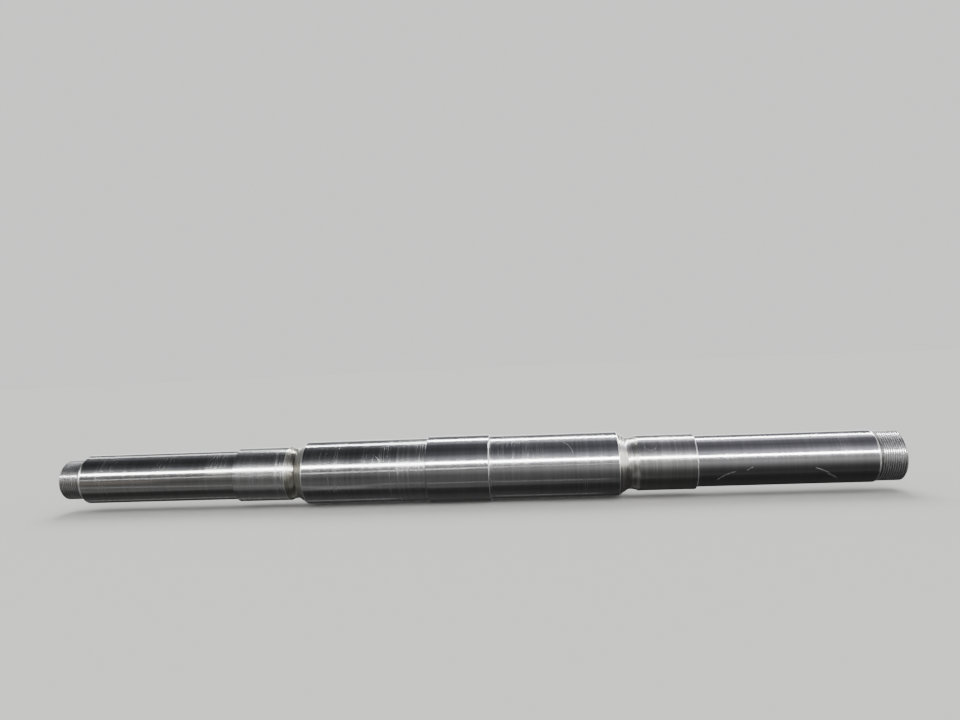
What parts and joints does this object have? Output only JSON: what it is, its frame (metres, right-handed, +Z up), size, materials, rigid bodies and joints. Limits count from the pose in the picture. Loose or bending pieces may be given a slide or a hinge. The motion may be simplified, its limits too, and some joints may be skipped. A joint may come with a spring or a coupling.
{
  "type": "wind turbine main shaft",
  "caption": "Stepped forged steel rotor shaft with a centre collar, necked journals and a thread at each end.",
  "frame": {"origin": "on the shaft's axis, at the middle of its length", "axes": "+X along the shaft towards the end with the larger thread, +Z up as it lies"},
  "size_m": [5.7918, 0.454, 0.454],
  "materials": {
    "turned_steel": "bright turned and ground steel with fine rings round the axis"
  },
  "bodies": {
    "root": {"main_shaft": "turned_steel"}
  },
  "joints": []
}
